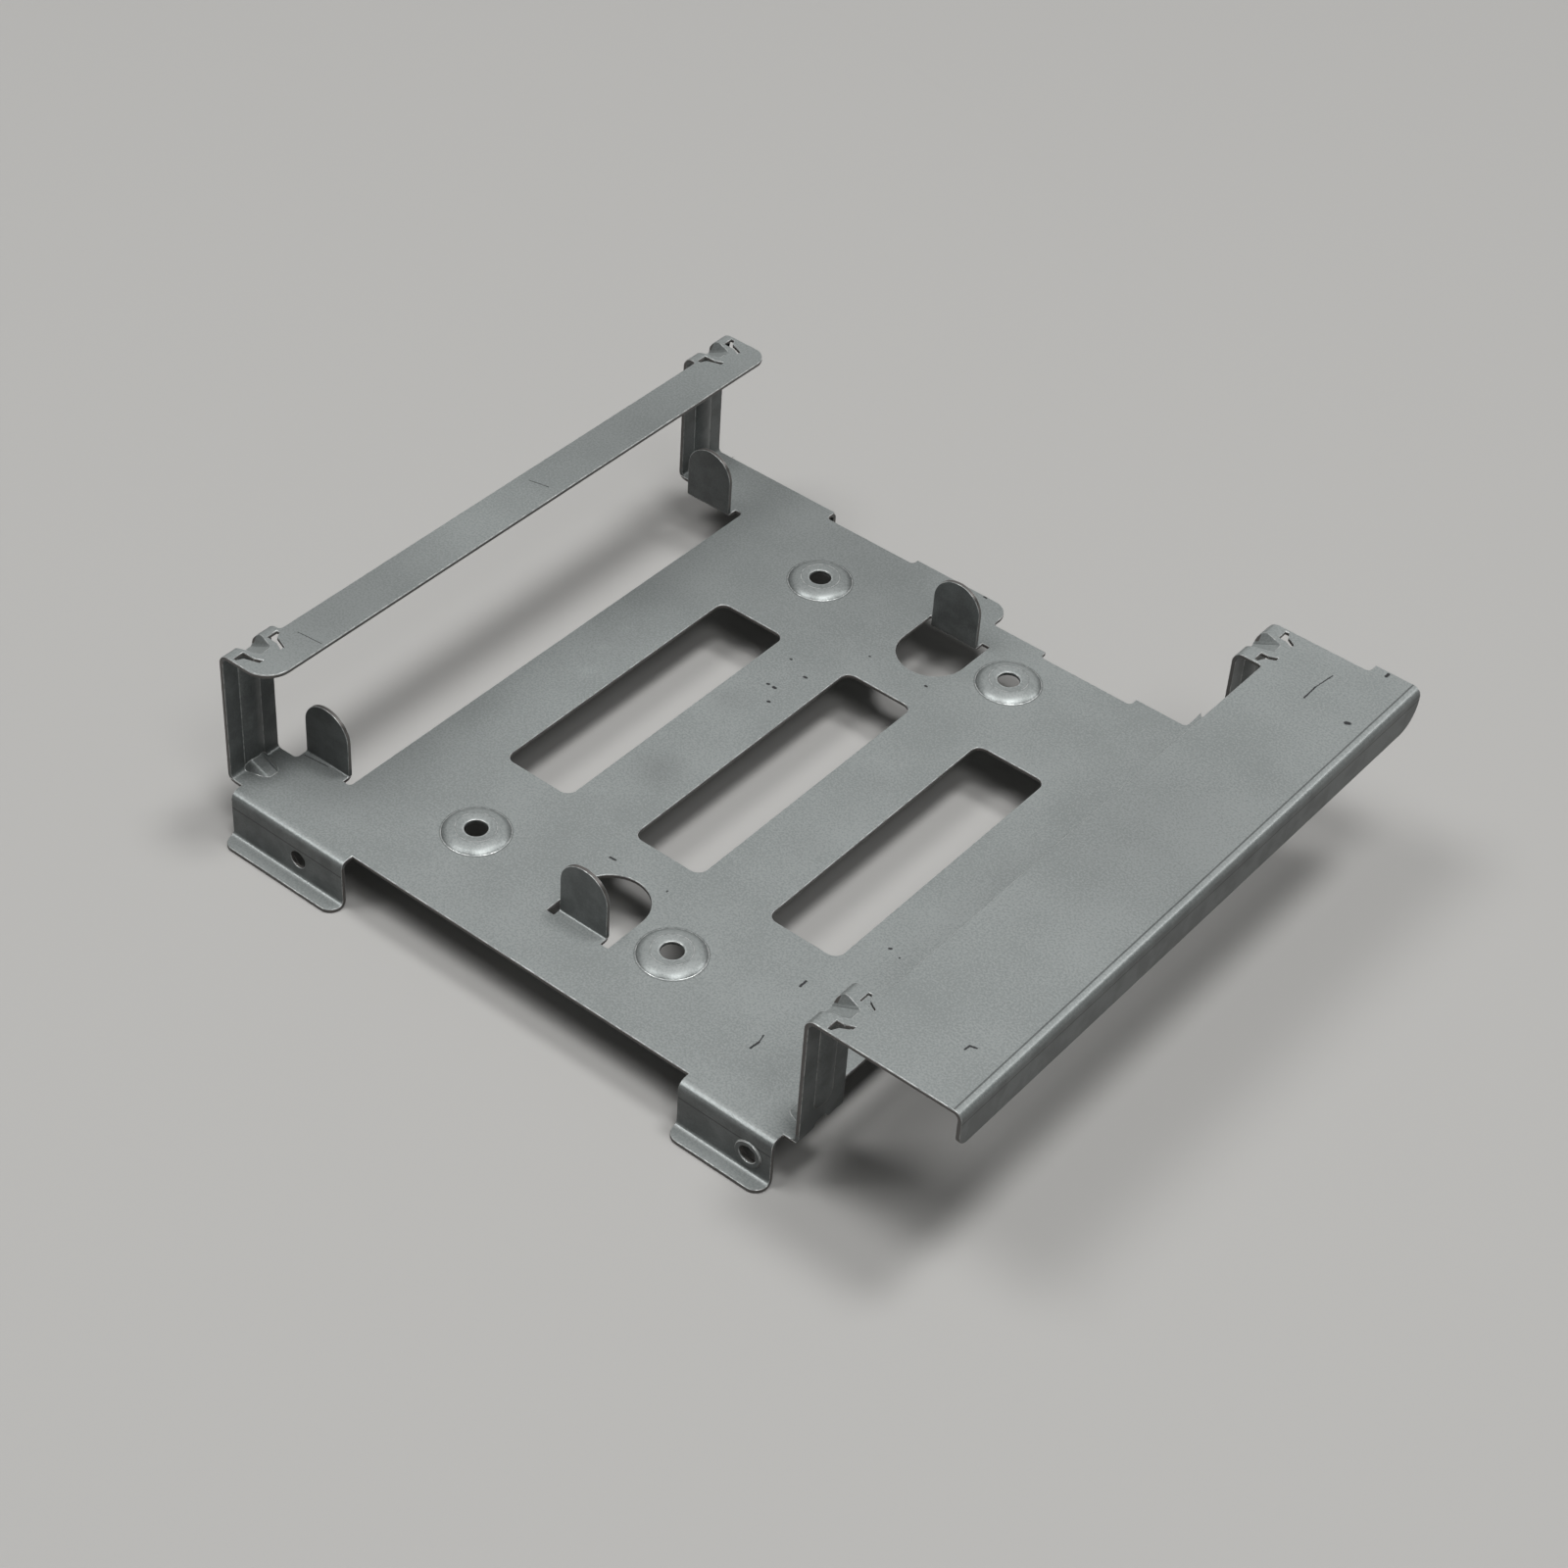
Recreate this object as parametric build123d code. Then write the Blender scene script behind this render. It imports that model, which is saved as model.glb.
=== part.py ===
from build123d import *
from math import hypot
import os

# Hard drive cage: one stamped and folded sheet of zinc coated steel.
# X runs along the drive, Y across it and Z up.
# The origin is the middle of the four drive screws, on the plane where the drive rests.

# Sheet and its folds
sheet = 0.8
fold_radius = 0.9
top_fold_radius = 1.5
tab_fold_radius = 0.4
window_corner = 0.8
step_round = 0.9

# Drive that the plate carries
drive_width = 101.6
drive_side_gap = 0.7
screw_spacing_across = 95.25
screw_spacing_along = 44.45

# Raised seats around the drive screws
seat_height = 1.1
seat_base_radius = 6.15
seat_crest_radius = 3.7
seat_crest_fall = 0.14
seat_dish = 0.25
seat_hole_radius = 2.1

# Side walls: outer faces, measured from the middle of the drive screws
left_wall_x = -63.85
right_wall_x = 64.35
wall_height = 28.0

# Legs of the side walls, and how far each stands beyond the tab faces
leg_width = 11.4
near_leg_gap = 3.4
left_far_leg_gap = 3.6
right_far_leg_gap = 1.3

# Rail, folded inwards from the left wall
rail_width = 11.85
rail_margin = 3.05
rail_near_round = 5.0
rail_far_round = 3.4

# Shelf, folded outwards from the right wall, with its lip
shelf_width = 29.15
shelf_margin = 5.1
lip_depth = 7.5
lip_near_round = 2.4
lip_far_round = 5.0
ear_reach = 2.2
ear_length = 9.3

# Windows that the walls leave in the plate
left_window_depth = 17.35
right_window_depth = 3.45

# Long slots in the plate
slot_width = 15.1
slot_length = 60.0
slot_pitch = 30.0
slot_count = 3
slot_corner = 2.0
slot_middle_x = 5.85

# Upright tabs that centre the drive
tab_width = 10.4
tab_height = 12.4
tab_pitch = 60.0
middle_tab_x = 6.55
tab_side_gap = 1.7
tab_relief = 2.3
tab_root = 1.6
lance_length = 13.2

# Feet: a web folded down and a lip folded outwards
foot_height = 10.5
foot_lip = 3.0
foot_lip_round = 2.4
foot_root = 1.3
near_web_gap = 2.7
far_web_gap = 0.6
left_foot_start = -60.4
left_foot_end = -33.6
right_foot_start = 41.8
right_foot_end = 61.3
far_right_foot_start = 54.4

# Screw holes through the near webs, one with a raised ring around it
foot_hole_radius = 1.72
foot_hole_drop = 5.8
left_foot_hole_x = -44.3
right_foot_hole_x = 56.7
foot_collar_radius = 2.6
foot_collar_height = 0.3

# Steps of the plate's far edge between its feet, with their depth from the left wall's far edge
far_recess_depth = 2.5
far_ear_depth = 1.0
far_ear_start = -12.4
far_ear_end = 9.9
far_ear_round = 3.6
far_inner_depth = 6.8
far_inner_end = 22.1
far_deep_depth = 8.5
far_outer_start = 42.4
far_outer_depth = 6.5
far_outer_end = 53.4

# Stiffening bead on each leg
bead_width = 4.2
bead_depth = 0.7
left_bead_top_gap = 1.2
right_bead_top_gap = 2.2
right_bead_gap = 4.5

# Darts pressed across the folds of each leg, with their reach along each face of the fold
top_dart_floor = 2.6
top_dart_reach = 5.4
top_dart_drop = 2.6
bottom_dart_floor = 2.2
bottom_dart_reach = 5.4
bottom_dart_rise = 2.3
dart_flare = 0.75
dart_round = 0.9
dart_root = 0.72

# Relief slits that hug both sides of each top dart, measured from the fold and from the leg's middle
left_relief_start = 2.9
right_relief_start = 3.9
relief_head = 0.7
relief_head_low = 2.8
relief_head_high = 5.1
relief_waist = 1.3
relief_waist_high = 3.9
relief_bend = 5.4
relief_bend_low = 2.75
relief_end = 7.0
relief_end_low = 2.0
relief_end_high = 2.9

# Working lengths: through the sheet, well clear of the part, and into the metal a piece joins
through = 3 * sheet
clear = 4 * foot_height
overlap = 0.25

# Levels and positions that follow from the sizes above
plate_top = -seat_height
plate_middle = plate_top - sheet / 2
plate_bottom = plate_top - sheet
floor = plate_top - foot_height
wall_top = plate_top + wall_height
lip_x = right_wall_x + shelf_width
window_left = left_wall_x + left_window_depth
window_right = right_wall_x - right_window_depth
tab_face = drive_width / 2 + drive_side_gap
wall_near_edge = tab_face + near_leg_gap + leg_width
left_far_edge = tab_face + left_far_leg_gap + leg_width
right_far_edge = tab_face + right_far_leg_gap + leg_width
near_web = wall_near_edge + near_web_gap
far_web = left_far_edge + far_web_gap
left_tab_x = middle_tab_x - tab_pitch
lance_width = tab_width + 2 * tab_side_gap
middle_radius = fold_radius + sheet / 2
top_middle_radius = top_fold_radius + sheet / 2
tab_middle_radius = tab_fold_radius + sheet / 2
seat_places = [
    (sx * screw_spacing_along / 2, sy * screw_spacing_across / 2) for sx in (-1, 1) for sy in (-1, 1)
]


def block(x_range, y_range, z_range):
    """Box between two corners, each range from low to high."""
    size = [high - low for low, high in (x_range, y_range, z_range)]
    middle = [(high + low) / 2 for low, high in (x_range, y_range, z_range)]
    return Pos(*middle) * Box(*size)


def rounded_block(x_range, y_range, z_range, radius):
    """Box with its four upright edges rounded."""
    solid = block(x_range, y_range, z_range)
    return fillet(solid.edges().filter_by(Axis.Z), radius)


def band_along_y(corners, radii, y_low, y_high):
    """Folded strip whose middle line runs through (x, z) corners, drawn out along Y."""
    path = FilletPolyline(*corners, radius=radii)
    section = Plane.XZ * trace(path, line_width=sheet)
    return Pos(0, y_high, 0) * extrude(section, y_high - y_low)


def band_along_x(corners, radius, x_low, x_high):
    """Folded strip whose middle line runs through (y, z) corners, drawn out along X."""
    path = FilletPolyline(*corners, radius=radius)
    section = Plane.YZ * trace(path, line_width=sheet)
    return Pos(x_low, 0, 0) * extrude(section, x_high - x_low)


def left_side():
    """Left half of the plate, the left wall and the rail above it."""
    wall_middle = left_wall_x + sheet / 2
    top_middle = wall_top - sheet / 2
    corners = [
        (left_wall_x + rail_width, top_middle),
        (wall_middle, top_middle),
        (wall_middle, plate_middle),
        (0, plate_middle),
    ]
    radii = [top_middle_radius, middle_radius]
    side = band_along_y(corners, radii, -wall_near_edge, left_far_edge)
    rail_end = side.edges().filter_by(Axis.Z).group_by(Axis.Z)[-1].sort_by(Axis.X)[-2:]
    side = fillet(rail_end.sort_by(Axis.Y)[0], rail_near_round)
    rail_end = side.edges().filter_by(Axis.Z).group_by(Axis.Z)[-1].sort_by(Axis.Y)
    return fillet(rail_end[-1], rail_far_round)


def right_side():
    """Right half of the plate, the right wall, the shelf and its lip."""
    wall_middle = right_wall_x - sheet / 2
    top_middle = wall_top - sheet / 2
    lip_middle = lip_x - sheet / 2
    corners = [
        (0, plate_middle),
        (wall_middle, plate_middle),
        (wall_middle, top_middle),
        (lip_middle, top_middle),
        (lip_middle, wall_top - lip_depth),
    ]
    radii = [middle_radius, top_middle_radius, middle_radius]
    side = band_along_y(corners, radii, -wall_near_edge, right_far_edge + ear_reach)
    return side - shelf_ear_cut() - lip_corner_cuts()


def shelf_ear_cut():
    """What the sheet leaves out beyond the shelf's far edge, up to the ear beside the lip."""
    y_range = (right_far_edge, right_far_edge + clear)
    z_range = (floor, wall_top + clear)
    return rounded_block((far_outer_end, lip_x - ear_length), y_range, z_range, step_round)


def lip_corner_cuts():
    """Rounds the two lower corners of the lip."""
    x_range = (lip_x - 2 * sheet, lip_x + sheet)
    low = wall_top - lip_depth
    near = corner_cut(-wall_near_edge, low, lip_near_round, 1, x_range)
    far = corner_cut(right_far_edge + ear_reach, low, lip_far_round, -1, x_range)
    return near + far


def corner_cut(y_edge, z_edge, radius, inwards, x_range):
    """What a rounded lower corner takes away; inwards is the way along Y into the sheet."""
    y_centre = y_edge + inwards * radius
    y_range = sorted((y_edge - inwards * sheet, y_centre))
    square = block(x_range, y_range, (z_edge - sheet, z_edge + radius))
    bar = Rot(0, 90, 0) * Cylinder(radius, x_range[1] - x_range[0])
    return square - Pos((x_range[0] + x_range[1]) / 2, y_centre, z_edge + radius) * bar


def wall_windows():
    """Openings between the legs, which run on into the plate, the rail and the shelf."""
    near = -wall_near_edge + leg_width
    left_y = (near, left_far_edge - leg_width)
    right_y = (near, right_far_edge - leg_width)
    above = wall_top + through
    under = plate_bottom - through
    low_level = (under, plate_top + through)
    tab_start = left_tab_x - tab_width / 2
    notch = tab_face + tab_relief
    outside = left_wall_x - clear
    shelf_edge = right_wall_x + shelf_margin
    shelf_levels = (wall_top - 2 * through, above)
    left_wall = rounded_block((outside, left_wall_x + rail_margin), left_y, (floor, above), window_corner)
    left_plate = rounded_block((outside, tab_start), left_y, low_level, window_corner)
    left_deep = rounded_block((tab_start - through, window_left), (-notch, notch), low_level, window_corner)
    right_wall = block((window_right, right_wall_x + through), right_y, (under, wall_top - through))
    right_plate = rounded_block((window_right, right_wall_x + sheet), right_y, low_level, window_corner)
    right_shelf = rounded_block((window_right, shelf_edge), right_y, shelf_levels, window_corner)
    return left_wall + left_plate + left_deep + right_wall + right_plate + right_shelf


def slots():
    """Row of long slots with rounded corners."""
    cutter = extrude(RectangleRounded(slot_width, slot_length, slot_corner), through)
    row = GridLocations(slot_pitch, 0, slot_count, 1)
    return [Pos(slot_middle_x, 0, plate_bottom - sheet) * place * cutter for place in row]


def lance(side):
    """Round-ended opening that a middle tab is folded out of; side is -1 near and 1 far."""
    radius = lance_width / 2
    apex = tab_face - lance_length
    round_end = Pos(0, side * (apex + radius)) * Circle(radius)
    length = tab_face + tab_relief - apex - radius
    straight = Pos(0, side * (apex + radius + length / 2)) * Rectangle(lance_width, length)
    outline = Pos(middle_tab_x, 0, plate_bottom - sheet) * (round_end + straight)
    return extrude(outline, through)


def tab(x_centre, side):
    """Upright tab with a round top, folded up from the plate; side is -1 near and 1 far."""
    y_middle = side * (tab_face + sheet / 2)
    y_root = side * (tab_face + tab_relief + tab_root)
    top = plate_top + tab_height
    corners = [(y_root, plate_middle), (y_middle, plate_middle), (y_middle, top)]
    strip = band_along_x(corners, tab_middle_radius, x_centre - tab_width / 2, x_centre + tab_width / 2)
    round_level = top - tab_width / 2
    shaft_height = round_level - plate_bottom + sheet
    shaft = Pos(0, round_level - shaft_height / 2) * Rectangle(tab_width, shaft_height)
    outline = Plane.XZ * (shaft + Pos(0, round_level) * Circle(tab_width / 2))
    length = 2 * (tab_face + tab_relief + tab_root)
    return strip & Pos(x_centre, length / 2, 0) * extrude(outline, length)


def seat_blanks():
    """Discs that the raised seats replace."""
    disc = Pos(0, 0, plate_middle) * Cylinder(seat_base_radius + overlap, through)
    return [Pos(x, y, 0) * disc for x, y in seat_places]


def seat():
    """Domed ring with a dished middle and a screw hole, pressed up from the plate."""
    outer = seat_base_radius + 2 * overlap
    crest = (seat_crest_radius, 0)
    dome = TangentArc(crest, (seat_base_radius, plate_top), tangent=(1, -seat_crest_fall))
    rest = Polyline(
        (seat_base_radius, plate_top),
        (outer, plate_top),
        (outer, plate_bottom),
        (seat_base_radius - overlap, plate_bottom),
        (seat_crest_radius + sheet / 2, -sheet - seat_dish / 2),
        (seat_hole_radius, -sheet - seat_dish / 2),
        (seat_hole_radius, -seat_dish),
        crest,
    )
    return revolve(Plane.XZ * make_face([dome, rest]), Axis.Z)


def foot(x_low, x_high, plate_edge, web, side):
    """Web folded down from the plate and lip folded outwards; side is -1 near and 1 far."""
    web_middle = side * (web - sheet / 2)
    lip_middle = floor + sheet / 2
    lip_end = side * (web + foot_lip)
    corners = [
        (side * (plate_edge - foot_root), plate_middle),
        (web_middle, plate_middle),
        (web_middle, lip_middle),
        (lip_end, lip_middle),
    ]
    strip = band_along_x(corners, middle_radius, x_low, x_high)
    lip_corners = strip.edges().filter_by(Axis.Z).sort_by(lambda edge: side * edge.center().Y)[-2:]
    return fillet(lip_corners, foot_lip_round)


def web_hole(x):
    """Screw hole along Y through a near web."""
    return Pos(x, -near_web, plate_top - foot_hole_drop) * Rot(90, 0, 0) * Cylinder(foot_hole_radius, through)


def web_collar(x):
    """Low ring around a screw hole on the outer face of a near web."""
    length = foot_collar_height + sheet / 2
    y_middle = length / 2 - near_web - foot_collar_height
    return Pos(x, y_middle, plate_top - foot_hole_drop) * Rot(90, 0, 0) * Cylinder(foot_collar_radius, length)


def round_bar(radius, run, with_balls):
    """Upright round bar between two levels, with a ball at each of them if wanted."""
    bar = Pos(0, 0, (run[0] + run[1]) / 2) * Cylinder(radius, run[1] - run[0])
    return bar + [Pos(0, 0, level) * Sphere(radius) for level in run] if with_balls else bar


def bead(x_back, y_centre, z_low, z_high, runs_out):
    """Bead pressed towards +X from the face at x_back: the metal it adds and what it takes.

    Its ends are round, unless the bead runs out into the darts above and below it.
    """
    half = bead_width / 2
    radius = (half**2 + bead_depth**2) / (2 * bead_depth)
    axis_x = x_back + bead_depth - radius
    run = (z_low, z_high) if runs_out else (z_low + half, z_high - half)
    hollow = Pos(axis_x, y_centre, 0) * round_bar(radius, run, not runs_out)
    crown = Pos(axis_x, y_centre, 0) * round_bar(radius + sheet, run, not runs_out)
    y_range = (y_centre - radius, y_centre + radius)
    z_range = (z_low - radius, z_high + radius)
    ahead = block((x_back + sheet - overlap, x_back + radius), y_range, z_range)
    pressed = block((x_back - overlap, x_back + radius), y_range, z_range)
    return crown & ahead, hollow & pressed


def dart(x, z, y_centre, ways, floor_width, reach):
    """Dart across the fold whose sharp outer corner is at x, z: added metal and what it takes.

    ways point from the corner into the fold along X and Z; reach is how far the dart's flat floor
    runs along the level face and along the wall.
    """
    x_way, z_way = ways
    x_reach, z_reach = reach
    run = hypot(x_reach, z_reach)
    depth = x_reach * z_reach / run
    outwards = (-x_way * z_reach, 0, -z_way * x_reach)
    along = (-x_way * x_reach, 0, z_way * z_reach)
    middle = (x + x_way * depth * z_reach / run, y_centre, z + z_way * depth * x_reach / run)
    half = floor_width / 2
    top = half + run * dart_flare
    outline = make_face(Polyline((0, -half), (0, half), (run, top), (run, -top), close=True))
    outline = fillet(outline.vertices().sort_by(Axis.X)[:2], dart_round)
    place = Plane(middle, x_dir=outwards, z_dir=along)
    groove = extrude(place * outline, 2 * run, both=True)
    crown = extrude(place * offset(outline, sheet), 2 * run, both=True)
    x_range = sorted((x + x_way * dart_root, x + x_way * 2 * run))
    z_range = sorted((z + z_way * dart_root, z + z_way * 2 * run))
    return crown & block(x_range, (y_centre - run, y_centre + run), z_range), groove


def relief_slits(x_fold, start, y_centre):
    """Two bent slits through the rail or shelf, one on each side of a top dart."""
    corners = [
        (start, relief_head_low),
        (start, relief_head_high),
        (start + relief_head, relief_head_high),
        (start + relief_waist, relief_waist_high),
        (relief_end, relief_end_high),
        (relief_end, relief_end_low),
        (relief_bend, relief_bend_low),
    ]
    far_slit = extrude(make_face(Polyline(*corners, close=True)), through, both=True)
    near_slit = mirror(far_slit, Plane.XZ)
    return [Pos(x_fold, y_centre, wall_top) * slit for slit in (far_slit, near_slit)]


def leg_pressings(x_back, y_centre, on_left):
    """Bead and darts of one leg, each as the metal it adds and what it takes."""
    bead_low = plate_top if on_left else plate_top + right_bead_gap
    bead_high = wall_top - (left_bead_top_gap if on_left else right_bead_top_gap)
    corner_x = left_wall_x if on_left else right_wall_x
    inwards = 1 if on_left else -1
    return [
        bead(x_back, y_centre, bead_low, bead_high, on_left),
        dart(x_back, wall_top, y_centre, (1, -1), top_dart_floor, (top_dart_reach, top_dart_drop)),
        dart(
            corner_x, plate_bottom, y_centre, (inwards, 1),
            bottom_dart_floor, (bottom_dart_reach, bottom_dart_rise),
        ),
    ]


def pressings():
    """Beads, darts and relief slits of the four legs: the metal they add and what they take."""
    half_leg = leg_width / 2
    near_leg = -wall_near_edge + half_leg
    right_back = right_wall_x - sheet
    legs = [
        (left_wall_x, near_leg, left_relief_start),
        (left_wall_x, left_far_edge - half_leg, left_relief_start),
        (right_back, near_leg, right_relief_start),
        (right_back, right_far_edge - half_leg, right_relief_start),
    ]
    added = []
    taken = []
    for x_back, y_centre, relief_start in legs:
        for crown, hollow in leg_pressings(x_back, y_centre, x_back < 0):
            added.append(crown)
            taken.append(hollow)
        taken += relief_slits(x_back, relief_start, y_centre)
    return added, taken


def far_notch(x_range, depth):
    """What a rounded step of the given depth leaves out of the plate's far edge."""
    level = (plate_bottom - through, plate_top + through)
    y_edge = left_far_edge - depth
    return rounded_block(x_range, (y_edge, y_edge + clear), level, step_round)


def far_ear():
    """What is left out beyond the flat ear in the far edge and around its round corner."""
    level = (plate_bottom - through, plate_top + through)
    edge = left_far_edge - far_ear_depth
    past = edge + clear
    beyond = block((far_ear_start - sheet, far_ear_end + sheet), (edge, past), level)
    x_centre = far_ear_end - far_ear_round
    y_centre = edge - far_ear_round
    square = block((x_centre, far_ear_end + sheet), (y_centre, past), level)
    disc = Pos(x_centre, y_centre, plate_middle) * Cylinder(far_ear_round, 4 * through)
    return beyond + (square - disc)


def far_edge_cuts():
    """What the plate's far edge leaves out between its feet."""
    lap = 2 * step_round
    recess = far_notch((left_foot_end, far_ear_start), far_recess_depth)
    inner = far_notch((far_ear_end, far_inner_end + lap), far_inner_depth)
    deep = far_notch((far_inner_end, far_outer_start), far_deep_depth)
    outer = far_notch((far_outer_start - lap, far_outer_end), far_outer_depth)
    return recess + far_ear() + inner + deep + outer


def cage():
    """The whole folded part."""
    body = left_side() + right_side()
    body -= far_edge_cuts()
    body -= wall_windows()
    body -= slots()
    body -= [lance(-1), lance(1)]
    body -= seat_blanks()
    body += [Pos(x, y, 0) * seat() for x, y in seat_places]
    body += [tab(x, side) for x in (left_tab_x, middle_tab_x) for side in (-1, 1)]
    body += [
        foot(left_foot_start, left_foot_end, wall_near_edge, near_web, -1),
        foot(right_foot_start, right_foot_end, wall_near_edge, near_web, -1),
        foot(left_foot_start, left_foot_end, left_far_edge, far_web, 1),
        foot(far_right_foot_start, right_foot_end, right_far_edge, far_web, 1),
    ]
    body += web_collar(right_foot_hole_x)
    body -= [web_hole(left_foot_hole_x), web_hole(right_foot_hole_x)]
    added, taken = pressings()
    body += added
    body -= taken
    return body


os.makedirs("parts", exist_ok=True)
export_step(cage(), "parts/drive_cage.step")
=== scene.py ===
from math import radians

import bpy
from mathutils import Matrix, Vector


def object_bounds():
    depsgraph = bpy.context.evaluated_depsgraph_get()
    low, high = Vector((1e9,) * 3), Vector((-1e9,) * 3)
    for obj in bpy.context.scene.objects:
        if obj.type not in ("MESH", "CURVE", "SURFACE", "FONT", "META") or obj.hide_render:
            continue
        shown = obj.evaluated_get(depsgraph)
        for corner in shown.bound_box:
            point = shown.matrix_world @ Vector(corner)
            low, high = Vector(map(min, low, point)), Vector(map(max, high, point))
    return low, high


# Hard drive cage: looks of the folded zinc coated sheet, its floor, light and camera.
# Lengths are metres. X runs along the drive, Y across it and Z up.

# Camera: place, then turn, tilt and roll in degrees, then lens and sensor in millimetres
CAMERA_PLACE = (0.26179, -0.34625, 0.38030)
CAMERA_TURN = 36.265
CAMERA_DOWN = 41.774
CAMERA_ROLL = 4.217
CAMERA_LENS = 74.37
SENSOR_WIDTH = 36.0

# Sheet edges: gap closed, angles in degrees, round, and the slot of its material
WELD_GAP = 1e-6
FLAT_ANGLE = 0.5
SHARP_ANGLE = 18.0
EDGE_ROUND = 0.0001
EDGE_STEPS = 2
RIM_SLOT = 1

# Zinc coated steel, its tone made of clouds and of grain as noise scale and detail
ZINC_DARK = (0.258, 0.279, 0.274)
ZINC_LIGHT = (0.326, 0.348, 0.343)
ZINC_METAL = 0.10
ZINC_ROUGHNESS = (0.40, 0.54)
CLOUD_NOISE = (55.0, 4)
GRAIN_NOISE = (2600.0, 2)
GRAIN_SHARE = 0.7
GRAIN_BUMP = 0.06
GRAIN_HEIGHT = 0.00003
TONE_RANGE = (0.38, 0.62)
SATIN_RANGE = (0.3, 0.7)

# Zinc burnished by the press wherever the surface faces none of the three axes: more metal and less rough
# there, and its colour lightened as a painted highlight
FOLD_TILT = (0.96, 0.80)
FOLD_PAINTED_HIGHLIGHT = 1.12
PRESSED_METAL = 0.60
PRESSED_ROUGHNESS = 0.36

# Upright faces darker than level ones as painted shade, with blotches of tone on them
UPRIGHT_TILT = (0.25, 0.75)
UPRIGHT_PAINTED_SHADE = 0.47
BLOTCH_NOISE = (230.0, 3)
BLOTCH_TONE = (0.84, 1.14)

# Rounded sheared edges: burnished zinc above, with duller stretches, and bare steel below
RIM_COLOR = (0.62, 0.64, 0.63)
RIM_METAL = 0.45
RIM_ROUGHNESS = (0.28, 0.42)
RIM_NOISE = (900.0, 3)
RIM_DULL_RANGE = (0.40, 0.62)
RIM_UNDER_TILT = (0.15, -0.15)

# Painted highlight along the upper band of the cut edges, on the plate and on the rail and shelf
BAND_PAINTED_HIGHLIGHT = (0.92, 0.93, 0.92)
BAND_LEVELS = (-0.0012, 0.0268)
BAND_HALF = 0.0001

# Bare steel where the sheet was cut, by the middle level of each sheet along X, Y and Z
CUT_COLOR = (0.13, 0.122, 0.115)
CUT_TILT = 0.35
HALF_SHEET = 0.00042
SHEETS_X = (-0.06345, 0.06395, 0.0931)
SHEETS_Y = (-0.0686, 0.0667)
SHEETS_Z = (-0.0015, 0.0265, -0.0112)

# Tabs: how far the middle of their sheet lies to either side along Y, and where they end along X
TAB_LEVEL = 0.0519
TAB_END = 0.0625

# Raised seats, by a level and half the height around it, where nothing upright counts as cut
SEAT_SPAN = (-0.0011, 0.0015)

# Marks on upward faces, in millimetres: from, to and half the width
MILLIMETRES = 1000
DIRT_COLOR = (0.035, 0.035, 0.037)
MARK_WANDER = 0.25
WANDER_NOISE = (2.5, 2)
MARK_EDGE = (1.35, 0.7)
UPWARD = 0.5
MARKS = (
    ((45.6, -55.4), (45.8, -53.5), 0.20),
    ((45.8, -53.5), (45.4, -51.8), 0.13),
    ((42.8, -39.1), (42.8, -37.5), 0.22),
    ((-0.9, -36.9), (0.2, -36.8), 0.22),
    ((11.8, -36.8), (11.8, -36.6), 0.16),
    ((-11.7, 25.7), (-11.5, 25.7), 0.22),
    ((-6.6, 23.4), (-6.2, 23.5), 0.28),
    ((-10.3, 17.3), (-10.1, 17.4), 0.26),
    ((-8.9, 17.3), (-8.5, 17.3), 0.30),
    ((-7.1, 13.5), (-6.9, 13.6), 0.28),
    ((-1.4, 36.3), (-1.3, 36.3), 0.20),
    ((11.4, 36.6), (11.6, 36.6), 0.25),
    ((48.4, -22.1), (48.6, -21.9), 0.25),
    ((51.0, -22.8), (51.0, -22.7), 0.16),
    ((3.8, 65.2), (4.2, 65.2), 0.25),
    ((79.6, 50.3), (79.5, 54.1), 0.15),
    ((79.5, 54.1), (80.1, 58.8), 0.11),
    ((88.5, 49.6), (88.9, 49.8), 0.42),
    ((87.1, 65.0), (87.1, 65.8), 0.30),
    ((85.7, -55.3), (85.8, -54.2), 0.16),
    ((85.8, -54.2), (86.9, -53.9), 0.20),
    ((-58.0, -53.4), (-52.9, -52.9), 0.08),
    ((-58.5, 5.5), (-54.6, 6.4), 0.08),
)

# Soft darker and paler patches: middle and radius in millimetres, and how much each darkens, below zero
# where paler. The four with a radius above 30 are painted shade that deepens the tone of the far plate,
# the rail and the shelf.
PATCHES_AND_PAINTED_SHADE = (
    ((-9.9, -14.1), 8.0, 0.18),
    ((-12.5, 9.2), 6.0, 0.10),
    ((-38.6, 7.4), 10.0, 0.08),
    ((-39.9, 26.1), 12.0, 0.08),
    ((-36.7, -2.4), 2.5, -0.08),
    ((-39.4, 4.8), 2.2, -0.07),
    ((-39.9, 12.1), 2.2, -0.07),
    ((22.4, -10.9), 7.0, 0.05),
    ((20.4, 9.3), 6.0, 0.05),
    ((-25.0, 62.0), 62.0, 0.22),
    ((-62.0, -42.0), 40.0, 0.24),
    ((-60.0, 25.0), 38.0, 0.22),
    ((80.0, 5.0), 38.0, 0.12),
)

# Thin lines of painted shade where the folds bend: on the near webs, on the lip and beside the shelf's
# fold
LINE_HALF = 0.00015
LINE_PAINTED_SHADE = 0.55
WEB_LINE = (-0.0690, -0.0045)
LIP_LINE = (0.0935, 0.0246)
FOLD_LINE = (0.0918, 0.0269)

# Seats: their middle, and rings by radius, half the width and change of tone, in millimetres: painted
# shade in the creases at base and crest and a painted highlight at the hole
SEAT_MIDDLE = (22.225, 47.625)
SEAT_PAINTED_RINGS = ((6.15, 0.22, 0.45), (3.70, 0.14, 0.78), (2.25, 0.18, 1.35))

# Floor, with the share of its paleness that reaches the cage as reflected light
FLOOR_COLOR = (0.49, 0.484, 0.470)
FLOOR_BOUNCE = 0.45
FLOOR_REACH = 4.0
FLOOR_ROUGHNESS = 0.9
FLOOR_GLOSS = 0.1

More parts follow.
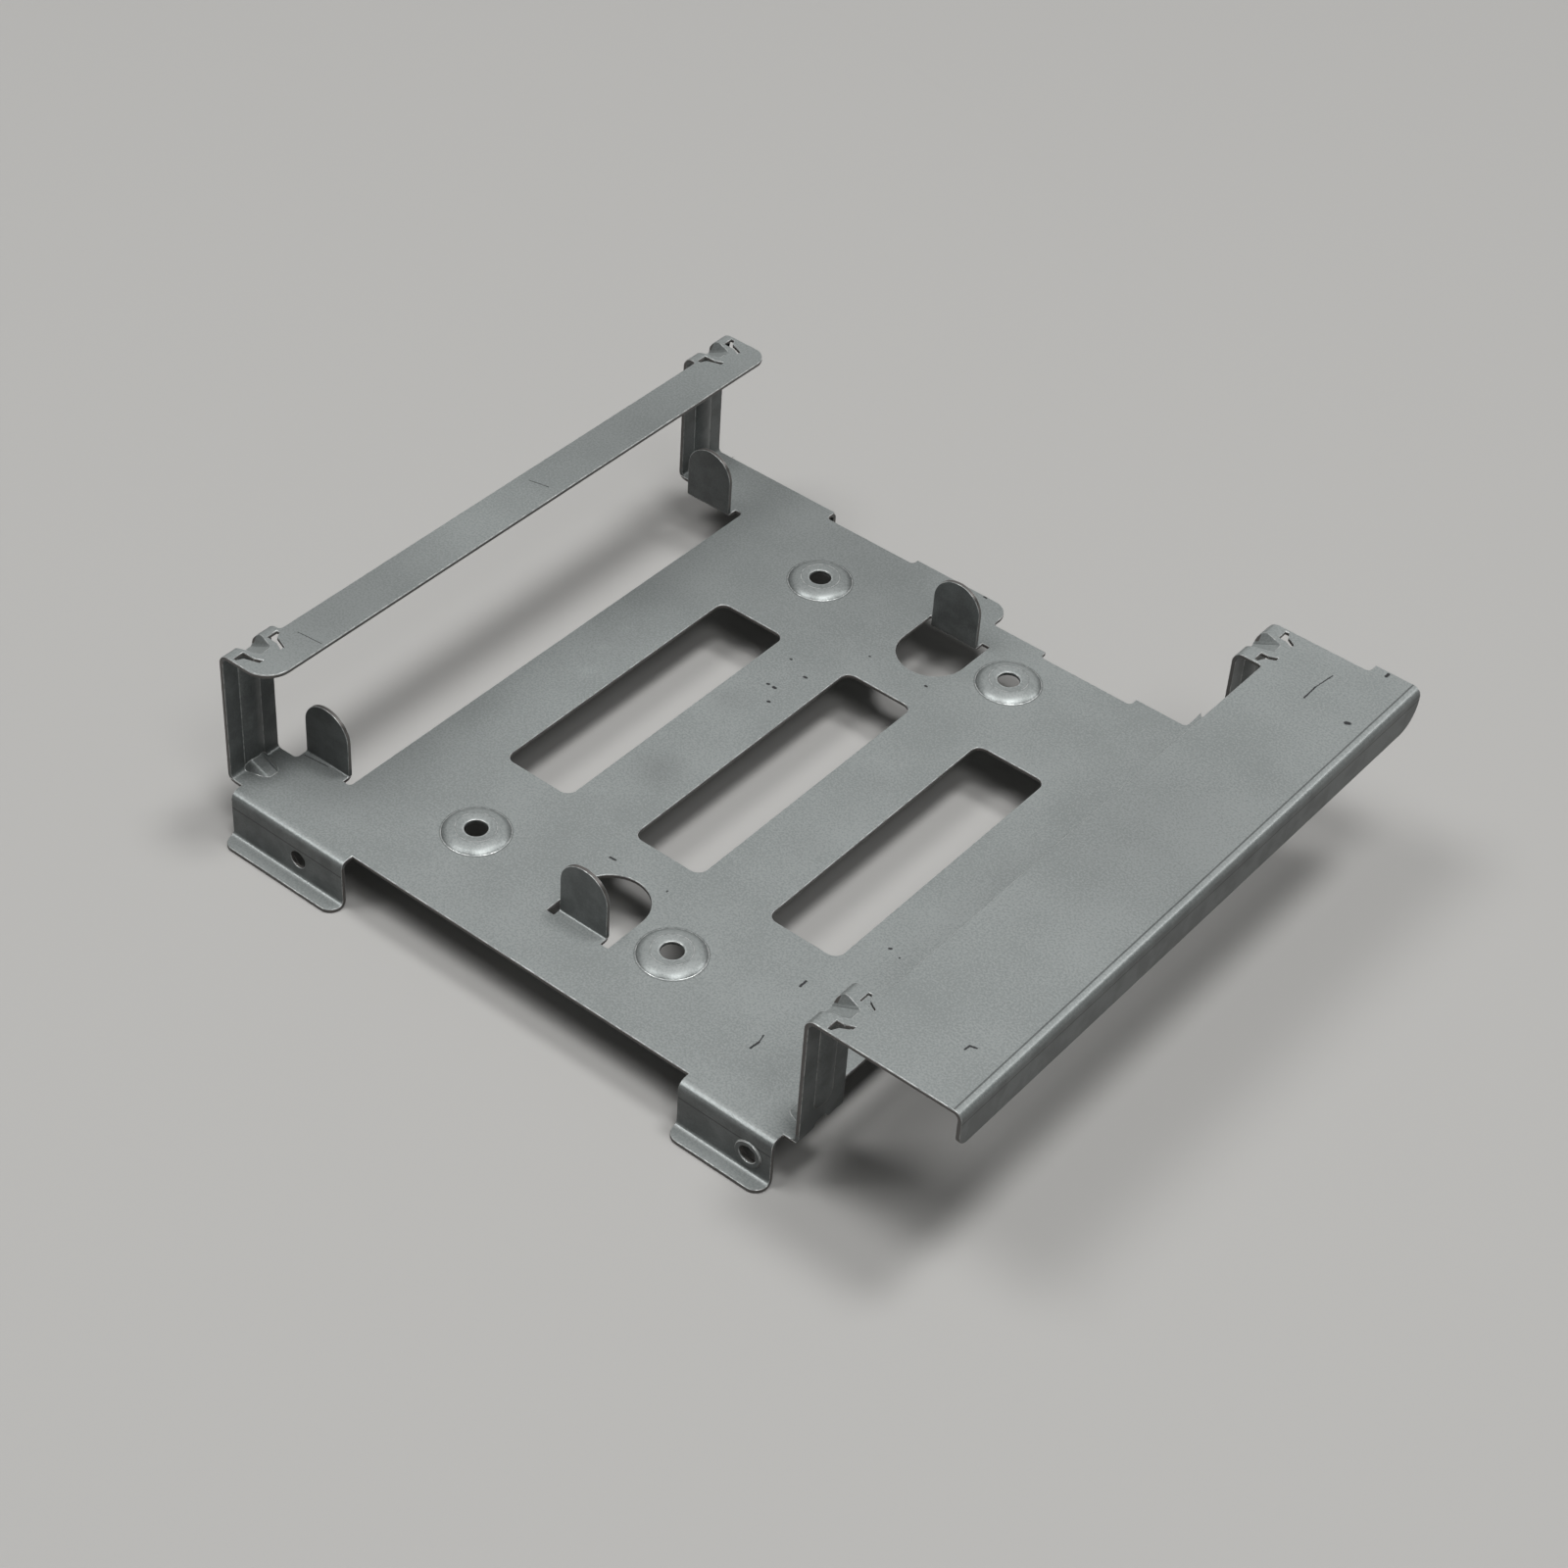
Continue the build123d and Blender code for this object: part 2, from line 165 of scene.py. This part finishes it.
# Four soft lamps overhead and two cards seen only in gloss, each by its place, width and power
BACK_LAMP = ((0.50, 0.64, 2.48), 0.62, 22.8)
TOP_LAMP = ((0.50, -0.26, 2.48), 0.62, 16.4)
LEFT_LAMP = ((-0.61, -0.445, 1.645), 0.62, 9.0)
RIGHT_LAMP = ((1.18, -0.57, 1.86), 0.60, 6.2)
NEAR_CARD = ((-0.63, -0.92, 0.84), 0.5, 3.5)
FAR_CARD = ((0.72, 0.96, 1.00), 0.5, 3.5)

# Faint surroundings
WORLD_COLOR = (0.095, 0.095, 0.095)


def add_camera():
    """Camera at the photograph's place, angle and roll."""
    data = bpy.data.cameras.new("camera")
    data.lens = CAMERA_LENS
    data.sensor_width = SENSOR_WIDTH
    camera = bpy.data.objects.new("camera", data)
    bpy.context.scene.collection.objects.link(camera)
    turn = Matrix.Rotation(radians(CAMERA_TURN), 4, "Z")
    tilt = Matrix.Rotation(radians(90 - CAMERA_DOWN), 4, "X")
    roll = Matrix.Rotation(radians(CAMERA_ROLL), 4, "Z")
    camera.matrix_world = Matrix.Translation(CAMERA_PLACE) @ turn @ tilt @ roll
    bpy.context.scene.camera = camera


def add_lamp(name, place, width, power, only_gloss=False):
    """Square soft lamp that shines on the middle of the cage, or a card seen only in its gloss."""
    data = bpy.data.lights.new(name, "AREA")
    data.shape = "SQUARE"
    data.size = width
    data.energy = power
    lamp = bpy.data.objects.new(name, data)
    bpy.context.scene.collection.objects.link(lamp)
    turn = (-Vector(place)).to_track_quat("-Z", "Y").to_matrix().to_4x4()
    lamp.matrix_world = Matrix.Translation(place) @ turn
    lamp.visible_diffuse = not only_gloss


def set_world():
    """Even pale surroundings."""
    world = bpy.data.worlds.new("surroundings")
    world.use_nodes = True
    world.node_tree.nodes["Background"].inputs["Color"].default_value = (*WORLD_COLOR, 1)
    bpy.context.scene.world = world


def plain_material(name):
    """Material with nodes, and its shader."""
    material = bpy.data.materials.new(name)
    material.use_nodes = True
    return material, material.node_tree.nodes["Principled BSDF"]


def feed(tree, socket, value):
    """Joins another node's output to a socket, or writes a plain value to it."""
    if isinstance(value, bpy.types.NodeSocket):
        tree.links.new(value, socket)
    else:
        socket.default_value = value


def math_node(tree, operation, *values, clamp=False):
    """Output of a Math node."""
    node = tree.nodes.new("ShaderNodeMath")
    node.operation = operation
    node.use_clamp = clamp
    for socket, value in zip(node.inputs, values):
        feed(tree, socket, value)
    return node.outputs[0]


def vector_node(tree, operation, *values, output="Vector"):
    """Output of a Vector Math node."""
    node = tree.nodes.new("ShaderNodeVectorMath")
    node.operation = operation
    for socket, value in zip(node.inputs, values):
        feed(tree, socket, value)
    return node.outputs[output]


def noise_node(tree, place, scale_and_detail, output=0):
    """Output of a Noise Texture node: its value, or another one by name."""
    node = tree.nodes.new("ShaderNodeTexNoise")
    feed(tree, node.inputs["Vector"], place)
    node.inputs["Scale"].default_value = scale_and_detail[0]
    node.inputs["Detail"].default_value = scale_and_detail[1]
    return node.outputs[output]


def add_bump(tree, shader, height):
    """Fine relief of the zinc's grain."""
    bump = tree.nodes.new("ShaderNodeBump")
    bump.inputs["Strength"].default_value = GRAIN_BUMP
    bump.inputs["Distance"].default_value = GRAIN_HEIGHT
    feed(tree, bump.inputs["Height"], height)
    feed(tree, shader.inputs["Normal"], bump.outputs[0])


def ramp_node(tree, value, low, high, to_low=0.0, to_high=1.0):
    """Value carried smoothly from one range to another."""
    node = tree.nodes.new("ShaderNodeMapRange")
    node.interpolation_type = "SMOOTHSTEP"
    for socket, item in zip(node.inputs, (value, low, high, to_low, to_high)):
        feed(tree, socket, item)
    return node.outputs[0]


def mix_node(tree, factor, first, second, blend="MIX"):
    """Mix of two colours."""
    node = tree.nodes.new("ShaderNodeMix")
    node.data_type = "RGBA"
    node.blend_type = blend
    feed(tree, node.inputs["Factor"], factor)
    feed(tree, node.inputs[6], first)
    feed(tree, node.inputs[7], second)
    return node.outputs[2]


def parts_of(tree, vector):
    """X, Y and Z of a vector."""
    node = tree.nodes.new("ShaderNodeSeparateXYZ")
    feed(tree, node.inputs[0], vector)
    return tuple(node.outputs)


def any_of(tree, masks):
    """Highest of several masks."""
    highest = masks[0]
    for mask in masks[1:]:
        highest = math_node(tree, "MAXIMUM", highest, mask)
    return highest


def level_mask(tree, along, levels, half):
    """Where a coordinate lies within half of any of the levels."""
    return any_of(tree, [math_node(tree, "COMPARE", along, level, half) for level in levels])


def cut_mask(tree, place, tilt):
    """Where the surface is a cut edge: inside the thickness of a sheet and square to its faces."""
    square = [math_node(tree, "LESS_THAN", facing, CUT_TILT) for facing in tilt]
    sheets = zip(place, (SHEETS_X, SHEETS_Y, SHEETS_Z))
    inside = [level_mask(tree, along, levels, HALF_SHEET) for along, levels in sheets]
    tabs = math_node(tree, "COMPARE", math_node(tree, "ABSOLUTE", place[1]), TAB_LEVEL, HALF_SHEET)
    tabs = math_node(tree, "MULTIPLY", tabs, math_node(tree, "LESS_THAN", place[0], TAB_END))
    walls = math_node(tree, "MULTIPLY", inside[0], square[0])
    sides = math_node(tree, "MULTIPLY", any_of(tree, [inside[1], tabs]), square[1])
    seats = math_node(tree, "COMPARE", place[2], *SEAT_SPAN)
    clear = math_node(tree, "SUBTRACT", 1.0, any_of(tree, [inside[2], seats]))
    upright = math_node(tree, "MULTIPLY", any_of(tree, [walls, sides]), clear)
    return any_of(tree, [upright, math_node(tree, "MULTIPLY", inside[2], square[2])])


def seat_painted_rings(tree, spot):
    """Painted shade in the creases at base and crest of the screw seats, and a painted highlight at the
    rim of the hole.
    """
    folded = vector_node(tree, "ABSOLUTE", spot)
    radius = vector_node(tree, "DISTANCE", folded, (*SEAT_MIDDLE, 0), output="Value")
    tone = 1.0
    for ring, half_width, change in SEAT_PAINTED_RINGS:
        off = math_node(tree, "ABSOLUTE", math_node(tree, "SUBTRACT", radius, ring))
        tone = math_node(tree, "MULTIPLY", tone, ramp_node(tree, off, 0.0, 2 * half_width, change, 1.0))
    return tone


def fold_line_painted_shade(tree, place):
    """Thin lines of painted shade along the folds."""
    x, y, z = place
    lines = []
    for across, level, along in ((y, z, WEB_LINE), (x, z, LIP_LINE), (z, x, FOLD_LINE[::-1])):
        face = math_node(tree, "COMPARE", across, along[0], LINE_HALF)
        line = math_node(tree, "COMPARE", level, along[1], LINE_HALF)
        lines.append(math_node(tree, "MULTIPLY", face, line))
    return any_of(tree, lines)


def mark_mask(tree, spot, start, end, half_width):
    """Short streak from start to end."""
    start = Vector((*start, 0))
    run = Vector((*end, 0)) - start
    offset = vector_node(tree, "SUBTRACT", spot, start)
    along = vector_node(tree, "DOT_PRODUCT", offset, run, output="Value")
    share = math_node(tree, "MULTIPLY", along, 1 / run.length_squared, clamp=True)
    reach = tree.nodes.new("ShaderNodeVectorMath")
    reach.operation = "SCALE"
    reach.inputs[0].default_value = run
    feed(tree, reach.inputs["Scale"], share)
    distance = vector_node(tree, "DISTANCE", offset, reach.outputs[0], output="Value")
    outside, inside = [edge * half_width for edge in MARK_EDGE]
    return ramp_node(tree, distance, outside, inside)


def wandering_spot(tree, place):
    """Place across the sheet in millimetres, shaken a little so that marks have no straight edges."""
    spot = vector_node(tree, "MULTIPLY", place, (MILLIMETRES, MILLIMETRES, 0))
    wander = vector_node(tree, "SUBTRACT", noise_node(tree, spot, WANDER_NOISE, "Color"), (0.5, 0.5, 0.5))
    wander = vector_node(tree, "MULTIPLY", wander, (MARK_WANDER, MARK_WANDER, 0))
    return vector_node(tree, "ADD", spot, wander)


def upright_blotch_and_painted_shade(tree, place, level_share):
    """Painted shade that darkens upright faces, blotched in tone, and none on level ones."""
    blotch = ramp_node(tree, noise_node(tree, place, BLOTCH_NOISE), *TONE_RANGE, *BLOTCH_TONE)
    darker = math_node(tree, "MULTIPLY", blotch, UPRIGHT_PAINTED_SHADE)
    return ramp_node(tree, level_share, *UPRIGHT_TILT, darker, 1.0)


def patched_and_painted_shade(tree, spot, shade):
    """Shade with the soft patches, the broad ones painted shade."""
    for middle, radius, darker in PATCHES_AND_PAINTED_SHADE:
        distance = vector_node(tree, "DISTANCE", spot, (*middle, 0), output="Value")
        patch_shade = ramp_node(tree, distance, 0.0, radius, 1 - darker, 1.0)
        shade = math_node(tree, "MULTIPLY", shade, patch_shade)
    return shade


def painted_highlight_band(tree, z, level_share):
    """Painted highlight along the top band of the cut edges."""
    square = math_node(tree, "LESS_THAN", level_share, CUT_TILT)
    return math_node(tree, "MULTIPLY", level_mask(tree, z, BAND_LEVELS, BAND_HALF), square)


def zinc_material():
    """Satin zinc with clouds and fine grain, burnished folds lightened as a painted highlight, painted
    shade on upright faces, around the seats and along the folds, soft patches, bare cut edges with a
    painted highlight on their top band, and small marks.
    """
    material, shader = plain_material("zinc_sheet")
    tree = material.node_tree
    source = tree.nodes.new("ShaderNodeTexCoord")
    place = source.outputs["Object"]
    axes = parts_of(tree, place)
    normal = parts_of(tree, source.outputs["Normal"])
    tilt = [math_node(tree, "ABSOLUTE", part) for part in normal]

    grain = noise_node(tree, place, GRAIN_NOISE)
    clouds = math_node(tree, "MULTIPLY", noise_node(tree, place, CLOUD_NOISE), 1 - GRAIN_SHARE)
    tone = math_node(tree, "ADD", math_node(tree, "MULTIPLY", grain, GRAIN_SHARE), clouds)
    color = mix_node(tree, ramp_node(tree, tone, *TONE_RANGE), (*ZINC_DARK, 1), (*ZINC_LIGHT, 1))
    # Faces that face no axis: burnished zinc, lightened in colour as a painted highlight
    folds = ramp_node(tree, any_of(tree, tilt), *FOLD_TILT)
    color = mix_node(tree, folds, color, (FOLD_PAINTED_HIGHLIGHT, FOLD_PAINTED_HIGHLIGHT, FOLD_PAINTED_HIGHLIGHT, 1), "MULTIPLY")

    spot = wandering_spot(tree, place)
    # Painted shade on upright faces, times the painted shade and highlight rings around the seats
    shade = math_node(tree, "MULTIPLY", upright_blotch_and_painted_shade(tree, place, tilt[2]), seat_painted_rings(tree, spot))
    # Painted shade along the folds
    lines = math_node(tree, "MULTIPLY", fold_line_painted_shade(tree, axes), LINE_PAINTED_SHADE)
    # Soft patches, the broad ones painted shade
    shade = patched_and_painted_shade(tree, spot, shade)
    shade = math_node(tree, "MULTIPLY", shade, math_node(tree, "SUBTRACT", 1.0, lines))
    color = mix_node(tree, 1.0, color, shade, "MULTIPLY")
    marks = any_of(tree, [mark_mask(tree, spot, *mark) for mark in MARKS])
    marks = math_node(tree, "MULTIPLY", marks, math_node(tree, "GREATER_THAN", normal[2], UPWARD))
    color = mix_node(tree, marks, color, (*DIRT_COLOR, 1))
    color = mix_node(tree, cut_mask(tree, axes, tilt), color, (*CUT_COLOR, 1))
    # Painted highlight on the top band of the cut edges
    color = mix_node(tree, painted_highlight_band(tree, axes[2], tilt[2]), color, (*BAND_PAINTED_HIGHLIGHT, 1))
    feed(tree, shader.inputs["Base Color"], color)

    feed(tree, shader.inputs["Metallic"], ramp_node(tree, folds, 0.0, 1.0, ZINC_METAL, PRESSED_METAL))
    satin = ramp_node(tree, tone, *SATIN_RANGE, *ZINC_ROUGHNESS)
    feed(tree, shader.inputs["Roughness"], ramp_node(tree, folds, 0.0, 1.0, satin, PRESSED_ROUGHNESS))
    add_bump(tree, shader, grain)
    return material


def rim_material():
    """Rounded sheared edge: burnished zinc with duller stretches, and bare steel underneath."""
    material, shader = plain_material("sheared_rim")
    tree = material.node_tree
    source = tree.nodes.new("ShaderNodeTexCoord")
    breaks = noise_node(tree, source.outputs["Object"], RIM_NOISE)
    dull = ramp_node(tree, breaks, *RIM_DULL_RANGE)
    normal = parts_of(tree, source.outputs["Normal"])
    under = ramp_node(tree, normal[2], *RIM_UNDER_TILT)
    color = mix_node(tree, dull, (*RIM_COLOR, 1), (*ZINC_LIGHT, 1))
    feed(tree, shader.inputs["Base Color"], mix_node(tree, under, color, (*CUT_COLOR, 1)))
    shader.inputs["Metallic"].default_value = RIM_METAL
    feed(tree, shader.inputs["Roughness"], ramp_node(tree, breaks, *SATIN_RANGE, *RIM_ROUGHNESS))
    return material


def add_floor(level):
    """Wide plain floor under the feet."""
    mesh = bpy.data.meshes.new("floor")
    turns = ((-1, -1), (1, -1), (1, 1), (-1, 1))
    corners = [(FLOOR_REACH * x, FLOOR_REACH * y, level) for x, y in turns]
    mesh.from_pydata(corners, [], [(0, 1, 2, 3)])
    floor = bpy.data.objects.new("floor", mesh)
    bpy.context.scene.collection.objects.link(floor)
    material, shader = plain_material("floor_paper")
    tree = material.node_tree
    rays = tree.nodes.new("ShaderNodeLightPath")
    seen = math_node(tree, "MAXIMUM", rays.outputs["Is Camera Ray"], rays.outputs["Is Glossy Ray"])
    bounced = [FLOOR_BOUNCE * part for part in FLOOR_COLOR]
    feed(tree, shader.inputs["Base Color"], mix_node(tree, seen, (*bounced, 1), (*FLOOR_COLOR, 1)))
    shader.inputs["Roughness"].default_value = FLOOR_ROUGHNESS
    shader.inputs["Specular IOR Level"].default_value = FLOOR_GLOSS
    mesh.materials.append(material)


def round_edges(piece):
    """Small round on every sheared edge of the sheet."""
    weld = piece.modifiers.new("weld", "WELD")
    weld.merge_threshold = WELD_GAP
    flats = piece.modifiers.new("flats", "DECIMATE")
    flats.decimate_type = "DISSOLVE"
    flats.angle_limit = radians(FLAT_ANGLE)
    bevel = piece.modifiers.new("edges", "BEVEL")
    bevel.limit_method = "ANGLE"
    bevel.angle_limit = radians(SHARP_ANGLE)
    bevel.width = EDGE_ROUND
    bevel.segments = EDGE_STEPS
    bevel.use_clamp_overlap = False
    bevel.material = RIM_SLOT
    normals = piece.modifiers.new("normals", "WEIGHTED_NORMAL")
    normals.keep_sharp = False


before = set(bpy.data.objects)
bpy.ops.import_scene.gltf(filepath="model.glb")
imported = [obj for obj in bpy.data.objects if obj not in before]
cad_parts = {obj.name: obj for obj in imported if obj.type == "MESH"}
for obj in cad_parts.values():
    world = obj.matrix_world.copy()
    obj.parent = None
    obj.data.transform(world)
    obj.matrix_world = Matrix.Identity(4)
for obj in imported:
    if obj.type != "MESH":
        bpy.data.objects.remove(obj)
cad_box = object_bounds()
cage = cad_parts["drive_cage"]
cage.material_slots[0].material = zinc_material()
cage.data.materials.append(rim_material())
round_edges(cage)
add_floor(cad_box[0][2])
add_camera()
add_lamp("back_lamp", *BACK_LAMP)
add_lamp("top_lamp", *TOP_LAMP)
add_lamp("left_lamp", *LEFT_LAMP)
add_lamp("right_lamp", *RIGHT_LAMP)
add_lamp("near_card", *NEAR_CARD, only_gloss=True)
add_lamp("far_card", *FAR_CARD, only_gloss=True)
set_world()
bpy.context.scene.view_settings.view_transform = "Standard"
